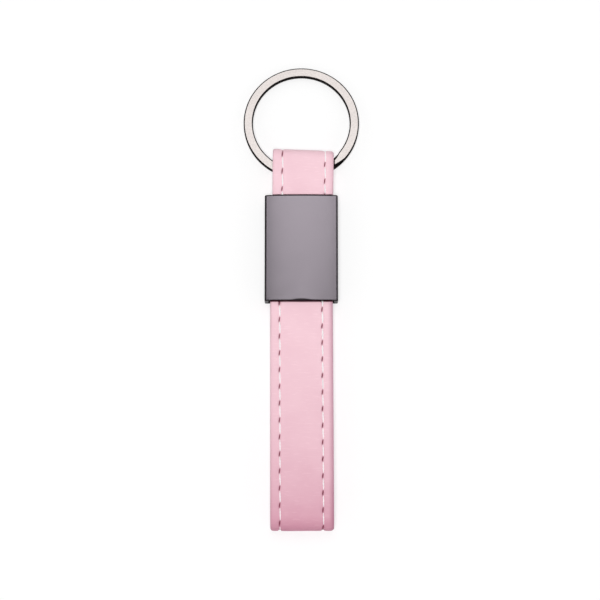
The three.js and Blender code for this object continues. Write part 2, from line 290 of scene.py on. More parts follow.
def hanger_curves(strap):
    """Short loop: front run out of the sleeve, flare, bight round the ring, back run home."""
    radius = (HANGER_HIGH.z - strap.thickness) / 2
    eye_z = HANGER_HIGH.z / 2
    bight_y = HANGER_HIGH.y - HANGER_HIGH.z / 2
    flare_start = MOUTH + BEND_START
    return [
        straight(0.01 * MM, FRONT_MID, flare_start, FRONT_MID),
        eased(flare_start, FRONT_MID, strap.flare_end, eye_z + radius),
        straight(strap.flare_end, eye_z + radius, bight_y, eye_z + radius),
        half_turn(bight_y, eye_z, radius, radius, math.pi / 2, 3.0),
        straight(bight_y, eye_z - radius, strap.flare_end, eye_z - radius),
        eased(strap.flare_end, eye_z - radius, flare_start, BACK_MID),
        straight(flare_start, BACK_MID, -BACK_HIGH.y, BACK_MID),
    ]


class StrapLoop:
    """A loop's mid-line and outward side, in short steps at the sleeve's mouth and long steps inside."""

    def __init__(self, strap, curves, spacing, is_hanger):
        trail = np.vstack([curves[0]] + [curve[1:] for curve in curves[1:]])
        travelled = np.concatenate([[0], np.cumsum(np.hypot(*np.diff(trail, axis=0).T))])
        # Every one of the finest steps is kept at the mouth, and one in so many elsewhere
        plain, inside = 4, 24
        fine = np.arange(0, travelled[-1], spacing / plain)
        beyond = np.abs(np.interp(fine, travelled, trail[:, 0])) - MOUTH
        at_mouth = np.abs(beyond - 0.4 * MM) < 0.6 * MM
        every = np.where(beyond < -2 * MM, inside, np.where(at_mouth, 1, plain))
        keep = np.arange(len(fine)) % every == 0
        self.s = np.append(fine[keep], travelled[-1])
        self.y = np.interp(self.s, travelled, trail[:, 0])
        self.z = np.interp(self.s, travelled, trail[:, 1])
        slope_y = np.gradient(self.y, self.s)
        slope_z = np.gradient(self.z, self.s)
        size = np.hypot(slope_y, slope_z)
        self.out_y = -slope_z / size
        self.out_z = slope_y / size
        self.is_hanger = is_hanger
        # Out of the sleeve's grip the strap narrows, sits aside and leans, and the eye's top edge slants
        which = 0 if is_hanger else 1
        outside = np.abs(self.y) - MOUTH
        freed = smoothstep(MOUTH - 4 * MM, MOUTH, np.abs(self.y))
        self.scale = 1 - freed * strap.narrowings[which] / strap.width
        self.shift = freed * strap.shifts[which] + np.maximum(outside, 0) * strap.leans[which]
        self.slant = smoothstep(MOUTH, HANGER_HIGH.y - 3 * MM, self.y) * is_hanger * strap.eye_slant
        # On the front run the threads come up out of their channels and the strap swells at the mouth
        front = smoothstep(-0.25, 0.6, self.out_z)
        self.sunk = 1 - front * smoothstep(-0.4 * MM, 1.6 * MM, outside)
        reach = strap.flare_end - MOUTH if is_hanger else strap.tail_swell_reach
        rise = smoothstep(0, 0.28 * MM, outside) * (1 - smoothstep(0, reach, outside))
        self.swell = strap.swells[which] * front * rise
        # Place of the front run's mouth along the loop, from which the needle holes are counted
        mouth = MOUTH if is_hanger else -MOUTH
        front_run = np.where(self.out_z > 0.5)[0]
        order = front_run[np.argsort(self.y[front_run])]
        self.front_mouth = float(np.interp(mouth, self.y[order], self.s[order]))

    def place(self, x, offset):
        """Points at x across the strap and offset outwards from the mid-line, a row for each step."""
        across = x * self.scale[:, None] + self.shift[:, None]
        along = self.y[:, None] + offset * self.out_y[:, None] - x * self.slant[:, None]
        up = self.z[:, None] + offset * self.out_z[:, None]
        return np.stack(np.broadcast_arrays(across, along, up), axis=-1)

    def uv(self, x):
        """Where those points lie on the strap when it is cut and flat."""
        return np.stack(np.broadcast_arrays(x[None, :], self.s[:, None]), axis=-1)


def seam_lines(strap, seam, loop):
    """Place across the strap, first hole along the loop and pitch, for the left and the right seam."""
    insets = seam.hanger_insets if loop.is_hanger else seam.tail_insets
    places = (-strap.width / 2 + insets[0], strap.width / 2 - insets[1])
    sign = 1 if loop.is_hanger else -1
    holes = seam.hanger_first_holes if loop.is_hanger else seam.tail_first_holes
    firsts = [loop.front_mouth + sign * hole for hole in holes]
    return list(zip(places, firsts, seam.pitches))


def face_relief(strap, seam, loop, x):
    """Depth of the face below its plain surface, and how far each point lies inside a needle hole."""
    pull_reach, valley_reach, channel_reach = 0.95 * MM, 0.62 * MM, 0.3 * MM
    valley_depth, pull_depth, channel_depth = 0.07 * MM, 0.07 * MM, 0.46 * MM
    hole_turn = math.radians(-7)
    hole_half, hole_reach, hole_depth = 0.13 * MM, 0.6 * MM, 0.34 * MM
    slit_reach = 0.68 * MM
    lip_place, lip_half, lip_height = 0.62 * MM, 0.26 * MM, 0.035 * MM
    edge_fall, bead_height, bead_place, bead_half = 0.1 * MM, 0.03 * MM, 0.86, 0.06
    s = loop.s[:, None]
    sunk = loop.sunk[:, None]
    depth = np.repeat(-loop.swell[:, None], len(x), axis=1)
    slit = np.zeros_like(depth)
    slits = seam.hanger_slits if loop.is_hanger else seam.tail_slits
    for (seam_x, first, pitch), slit_half in zip(seam_lines(strap, seam, loop), slits):
        dx = x[None, :] - seam_x
        ds = np.mod(s - first + pitch / 2, pitch) - pitch / 2
        pull = np.exp(-((ds / pull_reach) ** 2))
        valley = np.exp(-((dx / valley_reach) ** 2))
        channel = np.exp(-((dx / channel_reach) ** 4))
        depth += valley * (valley_depth + pull_depth * pull) + channel * sunk * channel_depth
        side = dx * math.cos(hole_turn) + ds * math.sin(hole_turn)
        ahead = ds * math.cos(hole_turn) - dx * math.sin(hole_turn)
        depth += hole_depth * np.exp(-((side / hole_half) ** 2) - (ahead / hole_reach) ** 4)
        # The dark inside of a needle hole: partly its raw leather, partly painted shade
        slit = np.maximum(slit, np.exp(-((side / slit_half) ** 4) - (ahead / slit_reach) ** 4))
        depth -= lip_height * np.exp(-(((np.abs(dx) - lip_place) / lip_half) ** 2)) * pull
    edge = np.abs(x[None, :]) / (strap.width / 2)
    depth += edge_fall * edge ** 8 - bead_height * np.exp(-(((edge - bead_place) / bead_half) ** 2))
    # Hand-cut leather is never quite even: two slow waves, by height, lengths across and along, and start
    for height, across, along, start in (
        (0.016 * MM, 13 * MM, 19 * MM, 1.3),
        (0.012 * MM, -21 * MM, 8.5 * MM, 0.4),
    ):
        depth += height * np.sin(2 * math.pi * (x[None, :] / across + s / along) + start)
    return depth, slit


def graded(low, high, centres, fine, coarse, reach):
    """Places across the strap, close together round each seam."""
    places = list(np.linspace(low, high, int((high - low) / coarse) + 1))
    places = [x for x in places if all(abs(x - c) > reach for c in centres)]
    for centre in centres:
        places.extend(np.linspace(centre - reach, centre + reach, int(2 * reach / fine) + 1))
    return np.array(sorted(places))


def quads(index):
    """Faces between the rows of a grid of vertices whose columns close into a ring."""
    after = np.roll(index, -1, axis=1)
    return np.stack([index[:-1], after[:-1], after[1:], index[1:]], axis=-1).reshape(-1, 4).tolist()


def placed(name, data):
    """A new object in the scene."""
    thing = bpy.data.objects.new(name, data)
    bpy.context.scene.collection.objects.link(thing)
    return thing


def closed_band(name, points, values, uv=None):
    """A mesh from rows of points that each go round the section, closed by a cap at both ends."""
    index = np.arange(points.size // 3).reshape(points.shape[:2])
    faces = quads(index) + [index[0].tolist()[::-1], index[-1].tolist()]
    return finished_mesh(name, points.reshape(-1, 3), faces, values, uv)


def finished_mesh(name, vertices, faces, values, uv=None):
    """A smooth piece with its faces outwards, point attributes and, on the strap, a UV map."""
    mesh = bpy.data.meshes.new(name)
    mesh.from_pydata(vertices.tolist(), [], faces)
    for key, value in values.items():
        attribute = mesh.attributes.new(key, "FLOAT", "POINT")
        attribute.data.foreach_set("value", np.asarray(value, np.float32).ravel())
    if uv is not None:
        corners = np.zeros(len(mesh.loops), np.int32)
        mesh.loops.foreach_get("vertex_index", corners)
        layer = mesh.uv_layers.new(name="strap")
        layer.data.foreach_set("uv", uv.reshape(-1, 2)[corners].astype(np.float32).ravel())
    shell = bmesh.new()
    shell.from_mesh(mesh)
    bmesh.ops.recalc_face_normals(shell, faces=shell.faces)
    shell.to_mesh(mesh)
    shell.free()
    mesh.shade_smooth()
    return placed(name, mesh)


def face_piece(name, strap, seam, loop):
    """Face leather, turned down over both edges of the filler and the lining."""
    half = strap.width / 2
    middle = strap.thickness / 2
    inner_roll = 0.4 * MM
    strip = half - strap.turned_strip
    left_roll, right_roll = strap.eye_edge_rolls if loop.is_hanger else strap.edge_rolls
    centres = [line[0] for line in seam_lines(strap, seam, loop)]
    outer = graded(
        left_roll - half, half - right_roll, centres, fine=0.115 * MM, coarse=0.55 * MM, reach=0.8 * MM
    )
    quarter = np.linspace(0, math.pi / 2, 9)[1:]

    def edge(roll):
        """Place across and depth, from the face round to the inside of the turned strip."""
        places = [(half - roll + roll * math.sin(a), middle * (1 - math.cos(a))) for a in quarter]
        for a in quarter:
            places.append((half - inner_roll + inner_roll * math.cos(a), middle + middle * math.sin(a)))
        return places + [(strip, strap.thickness), (strip, strap.face_ply)]

    left_edge = [(-x, depth) for x, depth in reversed(edge(left_roll))]
    x, base = np.array([(x, 0) for x in outer] + edge(right_roll) + left_edge).T
    relief, slit = face_relief(strap, seam, loop, x)
    on_face = 1 - smoothstep(0, middle, base)
    points = loop.place(x, middle - (base + relief * on_face))

    # Painted shade: the colour is palest round the ring and darkens down the long loop, most at its foot
    share = np.clip((-MOUTH - loop.y) / (-MOUTH - TAIL_LOW.y), 0, 1)
    eye = smoothstep(MOUTH + 1 * MM, MOUTH + 6 * MM, loop.y)
    at_sleeve, paler, deeper, deepest = 0.17, 0.06, 0.68, 0.07
    foot = at_sleeve - paler * eye + deeper * share ** 2.7
    foot += deepest * np.clip((share - 0.88) / 0.08, 0, 1)

    # Painted shade along both edges, most on the right, and round the fold, and a painted shadow on the
    # leather just under the sleeve's lower edge
    fold = 0.75 * np.clip((share - 0.93) / 0.07, 0, 1) ** 3
    edge_shade = strap.eye_edge_shade if loop.is_hanger else strap.edge_shade
    from_left = np.clip(1 - (x + half) / strap.edge_shade_reach[0], 0, 1) * edge_shade[0]
    from_right = np.clip(1 - (half - x) / strap.edge_shade_reach[1], 0, 1) * edge_shade[1]
    painted_lip_shadow = smoothstep(0.24 * MM, 0.02 * MM, np.abs(loop.y) - MOUTH) * (loop.y < 0)
    values = {
        "slit": np.maximum(slit, painted_lip_shadow[:, None]) * on_face,
        "foot": np.broadcast_to(foot[:, None], slit.shape),
        "painted_shade": np.maximum(np.maximum(from_left, from_right)[None, :], fold[:, None]),
    }
    return closed_band(name, points, values, loop.uv(x))


def lining_piece(name, strap, seam, loop):
    """Lining leather inside a loop, with a channel for each bobbin thread."""
    gap, soft = 0.04 * MM, 0.1 * MM
    channel_depth, channel_half = 0.32 * MM, 0.26 * MM
    half = strap.width / 2 - strap.turned_strip - gap
    centres = [line[0] for line in seam_lines(strap, seam, loop)]
    shown = graded(
        soft - half, half - soft, centres, fine=0.13 * MM, coarse=0.7 * MM, reach=0.5 * MM
    )[::-1]
    x = np.concatenate([[-half, half, half], shown, [-half]])
    hidden = strap.face_ply + 0.02 * MM
    base = np.concatenate([
        [hidden, hidden, strap.thickness - soft],
        np.full(len(shown), strap.thickness),
        [strap.thickness - soft],
    ])
    relief = np.zeros(len(x))
    for centre in centres:
        relief += channel_depth * np.exp(-(((x - centre) / channel_half) ** 4))
    depth = np.broadcast_to(base - relief * (base > hidden), (len(loop.s), len(x)))
    points = loop.place(x, strap.thickness / 2 - depth)
    return closed_band(name, points, {}, loop.uv(x))


# Seams


def seam_path(name, strap, seam, loop):
    """Bare lines that the threads follow: a needle and a bobbin thread on the left, then on the right."""
    outside = np.where(np.abs(loop.y) > MOUTH - 0.6 * MM)[0]
    y = loop.y[outside]
    # The thread is drawn tighter towards the foot, round the fold, on the short loop and over its bight
    slim = np.ones(len(y))
    for loss, low, high in (
        (0.3, -MOUTH, TAIL_LOW.y),
        (0.25, TAIL_LOW.y + 6 * MM, TAIL_LOW.y + 1 * MM),
        (0.15, MOUTH, MOUTH + 3 * MM),
        (0.5, HANGER_HIGH.y - 2.2 * MM, HANGER_HIGH.y - 0.8 * MM),
    ):
        slim *= 1 - loss * smoothstep(low, high, y)
    proud, channel, lining_channel = 0.03 * MM, 0.31 * MM, 0.17 * MM
    on_face = strap.thickness / 2 + proud - loop.sunk * channel + loop.swell
    on_lining = np.full(len(loop.s), -strap.thickness / 2 + lining_channel)
    vertices, outward, along, girth, edges = [], [], [], [], []
    for seam_x, first, pitch in seam_lines(strap, seam, loop):
        for offset, side, shift, size, step in (
            (on_face, 1, seam.thread_shift, seam.needle_thread, 0),
            (on_lining, -1, 0, seam.bobbin_thread, pitch / 2),
        ):
            line = loop.place(np.array([seam_x + shift]), offset[:, None])[outside, 0]
            normal = np.stack([np.zeros_like(loop.y), side * loop.out_y, side * loop.out_z], axis=-1)
            start = len(vertices)
            vertices.extend(line.tolist())
            outward.extend(normal[outside].tolist())
            along.extend(((loop.s[outside] - first + step) / pitch).tolist())
            girth.extend((slim * size / seam.needle_thread).tolist())
            edges.extend((start + i, start + i + 1) for i in range(len(line) - 1))
    mesh = bpy.data.meshes.new(name)
    mesh.from_pydata(vertices, edges, [])
    mesh.attributes.new("outward", "FLOAT_VECTOR", "POINT").data.foreach_set("vector", np.ravel(outward))
    mesh.attributes.new("along", "FLOAT", "POINT").data.foreach_set("value", along)
    mesh.attributes.new("girth", "FLOAT", "POINT").data.foreach_set("value", girth)
    return placed(name, mesh)


def add(tree, kind, sockets=None, **settings):
    """Adds a node, sets its properties, and sets or links its input sockets."""
    node = tree.nodes.new(kind)
    for key, value in settings.items():
        setattr(node, key, value)
    for key, value in (sockets or {}).items():
        if isinstance(value, bpy.types.NodeSocket):
            tree.links.new(value, node.inputs[key])
        else:
            node.inputs[key].default_value = value
    return node


def lockstitch_tree():
    """Geometry Nodes: cuts a bare seam line into stitches and gives each its twisted thread."""
    tree = bpy.data.node_groups.new("lockstitch_seam", "GeometryNodeTree")
    interface = tree.interface
    interface.new_socket(name="Seam lines", in_out="INPUT", socket_type="NodeSocketGeometry")
    for label in ("Stitch", "Thread", "Twists", "Slant", "Dip"):
        interface.new_socket(name=label, in_out="INPUT", socket_type="NodeSocketFloat")
    interface.new_socket(name="Material", in_out="INPUT", socket_type="NodeSocketMaterial")
    interface.new_socket(name="Threads", in_out="OUTPUT", socket_type="NodeSocketGeometry")
    given = add(tree, "NodeGroupInput").outputs
    along, girth, outward = (
        add(tree, "GeometryNodeInputNamedAttribute", {"Name": name}, data_type=kind).outputs["Attribute"]
        for name, kind in (("along", "FLOAT"), ("girth", "FLOAT"), ("outward", "FLOAT_VECTOR"))
    )
    # From -1 at a stitch's start to 1 at its end, and beyond that between two stitches
    reach = add(tree, "ShaderNodeMath", {0: along}, operation="FRACT").outputs[0]
    for operation, value in (("SUBTRACT", 0.5), ("MULTIPLY", 2.0), ("DIVIDE", given["Stitch"])):
        reach = add(tree, "ShaderNodeMath", {0: reach, 1: value}, operation=operation).outputs[0]
    size = add(tree, "ShaderNodeMath", {0: reach}, operation="ABSOLUTE").outputs[0]
    beyond = add(tree, "ShaderNodeMath", {0: size, 1: 1.0}, operation="GREATER_THAN").outputs[0]
    shown = add(
        tree, "GeometryNodeDeleteGeometry", {"Geometry": given["Seam lines"], "Selection": beyond},
        domain="POINT",
    ).outputs[0]
    # A stitch lies level in its middle and dives into the needle hole at each end
    sink = size
    for operation, value in (("POWER", 5.0), ("MULTIPLY", given["Dip"]), ("MULTIPLY", -1.0)):
        sink = add(tree, "ShaderNodeMath", {0: sink, 1: value}, operation=operation).outputs[0]
    down = add(tree, "ShaderNodeVectorMath", {0: outward, "Scale": sink}, operation="SCALE").outputs[0]
    aside = add(tree, "ShaderNodeMath", {0: reach, 1: given["Slant"]}, operation="MULTIPLY").outputs[0]
    across = add(tree, "ShaderNodeCombineXYZ", {"X": aside}).outputs[0]
    offset = add(tree, "ShaderNodeVectorMath", {0: down, 1: across}, operation="ADD").outputs[0]
    laid = add(tree, "GeometryNodeSetPosition", {"Geometry": shown, "Offset": offset}).outputs[0]
    curve = add(tree, "GeometryNodeMeshToCurve", {"Mesh": laid}).outputs[0]
    # Two plies twisted together: a flattened round that turns along the stitch and thins at its ends
    twist = along
    for value in (given["Twists"], 2 * math.pi):
        twist = add(tree, "ShaderNodeMath", {0: twist, 1: value}, operation="MULTIPLY").outputs[0]
    curve = add(tree, "GeometryNodeSetCurveTilt", {"Curve": curve, "Tilt": twist}).outputs[0]
    radius = add(tree, "ShaderNodeMath", {0: given["Thread"], 1: 0.5}, operation="MULTIPLY").outputs[0]
    round_ply = add(
        tree, "GeometryNodeCurvePrimitiveCircle", {"Resolution": 8, "Radius": radius}
    ).outputs[0]
    two_ply = add(
        tree, "GeometryNodeTransform", {"Geometry": round_ply, "Scale": (1.0, 0.82, 1.0)}
    ).outputs[0]
    scale = size
    for operation, value in (("POWER", 2.4), ("MULTIPLY", -0.8), ("ADD", 1.0), ("MULTIPLY", girth)):
        scale = add(tree, "ShaderNodeMath", {0: scale, 1: value}, operation=operation).outputs[0]
    threads = add(
        tree, "GeometryNodeCurveToMesh",
        {"Curve": curve, "Profile Curve": two_ply, "Scale": scale, "Fill Caps": True},
    ).outputs[0]
    threads = add(tree, "GeometryNodeSetShadeSmooth", {"Geometry": threads}).outputs[0]
    whole = add(tree, "GeometryNodeRealizeInstances", {"Geometry": threads}).outputs[0]
    sewn = add(
        tree, "GeometryNodeSetMaterial", {"Geometry": whole, "Material": given["Material"]}
    ).outputs[0]
    add(tree, "NodeGroupOutput", {"Threads": sewn})
    return tree


def seam_piece(name, path, tree, seam, material):
    """Runs the tree on a bare seam line and keeps the plain mesh that it makes."""
    modifier = path.modifiers.new("lockstitch", "NODES")
    modifier.node_group = tree
    chosen = {
        "Stitch": seam.stitch / seam.pitches[0], "Thread": seam.needle_thread,
        "Twists": seam.pitches[0] / seam.lay, "Slant": seam.slant, "Dip": 0.3 * MM, "Material": material,
    }
    for item in tree.interface.items_tree:
        if item.in_out == "INPUT" and item.name in chosen:
            modifier[item.identifier] = chosen[item.name]
    graph = bpy.context.evaluated_depsgraph_get()
    mesh = bpy.data.meshes.new_from_object(path.evaluated_get(graph), depsgraph=graph)
    mesh.name = name
    path.modifiers.remove(modifier)
    bare = path.data
    bpy.data.objects.remove(path)
    bpy.data.meshes.remove(bare)
    return placed(name, mesh)


# Sleeve


def rounded_loop(left, right, bottom, top, corner, camber, across, upright, bend):
    """Points and outward normals, in x and z, of a rounded oblong with a cambered top."""
    places = []
    normals = []
    run = right - left - 2 * corner
    rise = top - bottom - 2 * corner

    def between(count):
        return np.linspace(0, 1, count + 2)[1:-1]

    def corner_points(cx, cz, start):
        for i in range(bend + 1):
            angle = math.radians(start + 90 * i / bend)
            places.append((cx + corner * math.cos(angle), cz + corner * math.sin(angle)))
            normals.append((math.cos(angle), math.sin(angle)))

    for t in between(across):
        places.append((left + corner + t * run, bottom))
        normals.append((0, -1))
    corner_points(right - corner, bottom + corner, -90)
    for t in between(upright):
        places.append((right, bottom + corner + t * rise))
        normals.append((1, 0))
    corner_points(right - corner, top - corner, 0)
    span = (right - left) / 2 - corner
    for t in between(across):
        u = 1 - 2 * t
        slope = 2 * camber * u / span
        size = math.hypot(1, slope)
        places.append(((left + right) / 2 + span * u, top + camber * (1 - u * u)))
        normals.append((slope / size, 1 / size))
    corner_points(left + corner, top - corner, 90)
    for t in between(upright):
        places.append((left, top - corner - t * rise))
        normals.append((-1, 0))
    corner_points(left + corner, bottom + corner, 180)
    return np.array(places), np.array(normals)


def sleeve_piece(name, sleeve):
    """A flat tube with a cambered front and rounded lips, closed from its outside to its inside."""
    counts = {"across": 40, "upright": 10, "bend": 8}
    left, right = SLEEVE_LOW.x, SLEEVE_HIGH.x
    ceiling = FRONT_HIGH.z + 0.1 * MM
    bore_corner = 0.25 * MM
    outer = rounded_loop(
        left, right, 0, ceiling + sleeve.front_wall, sleeve.corner, sleeve.camber, **counts
    )
    inner = rounded_loop(
        left + sleeve.side_wall, right - sleeve.side_wall, sleeve.back_wall, ceiling, bore_corner, 0,
        **counts,
    )
    places = outer[0]
    middle = np.exp(-((places[:, 0] / (2 * MM)) ** 4)) * (places[:, 1] > sleeve.back_wall)
    rings = []
    reflection_shades = []

    def ring(wall, y, inset, reflection_shade, dip=0):
        """One row round a wall. Side walls get a painted dark reflection, the right one less; the last
        value paints the whole row dark too.
        """
        loop, out = wall
        shifted = loop - out * inset
        rings.append(np.column_stack([shifted[:, 0], y + dip * middle, shifted[:, 1]]))
        side = smoothstep(0.94, 0.82, np.abs(out[:, 1])) * np.where(out[:, 0] > 0, 0.7, 1)
        reflection_shades.append(np.maximum(side, reflection_shade))

    def lip(wall, end, radius, inset, bends, plating=None):
        """The rounded edge of a wall at the upper mouth, where end is 1, or the lower, where it is -1;
        plating, when given, is its painted dark reflection by angle.
        """
        for a in bends:
            y = end * (MOUTH - radius + radius * math.sin(a))
            ring(wall, y, inset * radius * (1 - math.cos(a)), plating(a) if plating else 1)

    def darkening(a):
        """A painted dark reflection where the upper lip turns in, with less of it further round."""
        return float(smoothstep(0.05, 0.35, a) - 0.5 * smoothstep(0.4, 0.8, a))

    bends = np.linspace(0, math.pi / 2, 7)
    clear = 0.2 * MM
    bore_end = MOUTH - sleeve.inner_lip - clear
    for y in np.linspace(-MOUTH + 0.9 * MM, MOUTH - sleeve.lip - clear, 24):
        ring(outer, y, 0, 0)
    lip(outer, 1, sleeve.lip, 1, bends, darkening)
    lip(inner, 1, sleeve.inner_lip, -1, bends[::-1])
    # Painted shade inside the bore
    for y in np.linspace(bore_end, -bore_end, 12):
        ring(inner, y, 0, 1)
    lip(inner, -1, sleeve.inner_lip, -1, bends)
    lip(outer, -1, sleeve.lower_lip, 1, bends[::-1])
    # Painted shade: a dark line along the lower lip, reaching further in its middle
    dark_end = -MOUTH + sleeve.lower_lip + sleeve.dark_edge
    ring(outer, dark_end, 0, 1, sleeve.dip)
    ring(outer, dark_end + 0.12 * MM, 0, 0, sleeve.dip)
    points = np.array(rings)
    index = np.arange(points.size // 3).reshape(points.shape[:2])
    faces = quads(np.vstack([index, index[:1]]))
    return finished_mesh(name, points.reshape(-1, 3), faces, {"reflection_shade": np.array(reflection_shades)})


# Split ring


def ring_section(low, high, half, bevel, edge):
    """Bevelled oblong of the strip, as radius, height and its painted dark reflection: 1 on edges and 0
    on flats.
    """
    drop = 0.08 * MM
    line = 0.04 * MM
    shoulder = [(high - edge, half - drop, 1), (high - bevel, half, 1), (high - bevel - line, half, 0)]
    inner = [(low + bevel + line, half, 0), (low + bevel, half, 1), (low + edge, half - drop, 1)]
    wall = half - drop - edge
    upper = [(high, wall, 1)] + shoulder + inner + [(low, wall, 1)]
    lower = [(r, -a, reflection_shade) for r, a, reflection_shade in reversed(upper)]
    return np.array(upper + lower)


def ring_piece(name, ring):
    """One strip wound twice: it leaves the upper turn inside the strap's eye and ends under its start."""
    half = (ring.height - ring.turn_gap) / 4
    # In degrees along the strip
    start, wound = -52, 678
    crossing_from, crossing_to = 321, 357
    under_from, under_to = 335, 350
    cut_from, cut_to = 0.9, 0.2
    end_reach, end_slant = 14, 8
    end_taper = 0.5 * MM
    steps = 452
    pitch = 2 * half + ring.turn_gap
    sections = []
    reflection_shades = []
    sideways = Vector((1, 0, 0))
    ahead = RING_AXIS.cross(sideways)
    for step in range(steps + 1):
        travelled = wound * step / steps
        angle = math.radians(start + travelled)
        level = (0.5 - float(smoothstep(crossing_from, crossing_to, travelled))) * pitch
        end = min(travelled, wound - travelled)
        taper = end_taper * float(smoothstep(end_reach, 0, end))
        inner = ring.outer_radius - ring.strip_width + taper
        outer = ring.outer_radius - taper
        places = ring_section(inner, outer, half, ring.bevel, ring.edge)
        section = []
        for r, a, reflection_shade in places:
            share = (ring.outer_radius - r) / ring.strip_width - 0.5
            turn = angle + math.radians(end_slant * share * max(0, 1 - travelled / end_reach))
            out = sideways * math.cos(turn) + ahead * math.sin(turn)
            section.append(RING_CENTRE + out * r + RING_AXIS * (a + level))
        sections.append(section)
        # Painted shade on the lower turn where it runs under the crossing, and at both cut ends
        hidden = smoothstep(under_from, under_to, travelled) * (places[:, 1] > 0)
        cut = smoothstep(cut_from, cut_to, end)
        reflection_shades.append(np.maximum(np.maximum(places[:, 2], hidden), cut))
    points = np.array([[list(p) for p in section] for section in sections])
    return closed_band(name, points, {"reflection_shade": np.array(reflection_shades)})


# Materials


def new_material(name):
    material = bpy.data.materials.new(name)
    material.use_nodes = True
    tree = material.node_tree
    tree.nodes.clear()
    return material, tree


def face_leather(strap):
    """Dyed calf leather with a thin pigmented finish: satin, with pores, cross creases and hairlines."""
    material, tree = new_material("pigmented_calf_leather")
    uv = add(tree, "ShaderNodeUVMap", uv_map="strap").outputs["UV"]
    foot, painted_shade, slit = (
        add(tree, "ShaderNodeAttribute", attribute_name=name).outputs["Fac"]
        for name in ("foot", "painted_shade", "slit")
    )
    # Real pores and hairlines are about a tenth of a millimetre, and are drawn coarser so that they show
    pore_size, crease_size, stroke_size, cloud_size = 0.55 * MM, 1.1 * MM, 0.42 * MM, 7 * MM
    pores = add(
        tree, "ShaderNodeTexVoronoi", {"Vector": uv, "Scale": 1 / pore_size, "Smoothness": 0.6},
        voronoi_dimensions="2D", feature="SMOOTH_F1",
    ).outputs["Distance"]
    across = add(tree, "ShaderNodeMapping", {"Vector": uv, "Scale": (0.28, 1.0, 1.0)}).outputs["Vector"]
    creases = add(
        tree, "ShaderNodeTexNoise", {"Vector": across, "Scale": 1 / crease_size, "Detail": 4.0},
        noise_dimensions="2D",
    ).outputs["Fac"]
    drawn = add(tree, "ShaderNodeMapping", {"Vector": uv, "Scale": (0.16, 1.0, 1.0)}).outputs["Vector"]
    strokes = add(
        tree, "ShaderNodeTexNoise", {"Vector": drawn, "Scale": 1 / stroke_size, "Detail": 1.0},
        noise_dimensions="2D",
    ).outputs["Fac"]
    mottle = add(
        tree, "ShaderNodeTexNoise", {"Vector": uv, "Scale": 1 / cloud_size, "Detail": 3.0},
        noise_dimensions="2D",
    ).outputs["Fac"]
    cloud = add(
        tree, "ShaderNodeMapRange", {"Value": mottle, "From Min": 0.3, "From Max": 0.7, "To Max": 0.07}
    ).outputs["Result"]
    hairlines = add(
        tree, "ShaderNodeMapRange", {"Value": strokes, "From Min": 0.6, "From Max": 0.8, "To Max": 0.1}
    ).outputs["Result"]
    # The colour goes from face to deep by the painted shade down the long loop, with a random mottle and
    # paler hairlines
    clouded = add(tree, "ShaderNodeMath", {0: foot, 1: cloud}, operation="ADD").outputs[0]
    darkening = add(tree, "ShaderNodeMath", {0: clouded, 1: hairlines}, operation="SUBTRACT").outputs[0]
    dyed = add(
        tree, "ShaderNodeMix", {0: darkening, 6: (*strap.face_colour, 1), 7: (*strap.foot_shade_colour, 1)},
        data_type="RGBA", clamp_factor=True,
    ).outputs[2]
    # Painted shade on the edges and round the fold
    edge_shaded = add(
        tree, "ShaderNodeMix", {0: painted_shade, 6: dyed, 7: (*strap.edge_shade_colour, 1)},
        data_type="RGBA", blend_type="MULTIPLY",
    ).outputs[2]
    # Needle holes, partly painted shade, and the painted shadow under the sleeve's lower edge
    pierced = add(
        tree, "ShaderNodeMix", {0: slit, 6: edge_shaded, 7: (*strap.hole_and_shade_colour, 1)}, data_type="RGBA"
    ).outputs[2]
    shallow = add(tree, "ShaderNodeMath", {0: pores, 1: 0.35}, operation="MULTIPLY").outputs[0]
    height = add(tree, "ShaderNodeMath", {0: shallow, 1: creases}, operation="ADD").outputs[0]
    bump = add(
        tree, "ShaderNodeBump", {"Strength": 0.35, "Distance": 0.02 * MM, "Height": height}
    ).outputs["Normal"]
    gloss = add(
        tree, "ShaderNodeMapRange",
        {"Value": creases, "From Min": 0.3, "From Max": 0.7, "To Min": 0.55, "To Max": 0.65},
    ).outputs["Result"]
    shader = add(
        tree, "ShaderNodeBsdfPrincipled",
        {"Base Color": pierced, "Roughness": gloss, "IOR": 1.48, "Normal": bump},
    ).outputs[0]
    add(tree, "ShaderNodeOutputMaterial", {"Surface": shader})
    return material


def lining_leather(strap):
    """Split leather, buffed on the shown side: dull, with a short soft nap."""
    material, tree = new_material("buffed_split_leather")
    uv = add(tree, "ShaderNodeUVMap", uv_map="strap").outputs["UV"]
    # Real nap is about as fine as a hair, and is drawn in coarser tufts so that it shows
    tuft = 0.3 * MM
    shaded = tuple(0.82 * c for c in strap.lining_colour)
    nap = add(
        tree, "ShaderNodeTexNoise", {"Vector": uv, "Scale": 1 / tuft, "Detail": 5.0},
        noise_dimensions="2D",
    ).outputs["Fac"]
    dyed = add(
        tree, "ShaderNodeMix", {0: nap, 6: (*strap.lining_colour, 1), 7: (*shaded, 1)}, data_type="RGBA"
    ).outputs[2]
    bump = add(
        tree, "ShaderNodeBump", {"Strength": 0.5, "Distance": 0.04 * MM, "Height": nap}
    ).outputs["Normal"]
    shader = add(
        tree, "ShaderNodeBsdfPrincipled",
        {"Base Color": dyed, "Roughness": 0.75, "IOR": 1.45, "Sheen Weight": 0.15, "Normal": bump},
    ).outputs[0]
    add(tree, "ShaderNodeOutputMaterial", {"Surface": shader})
    return material


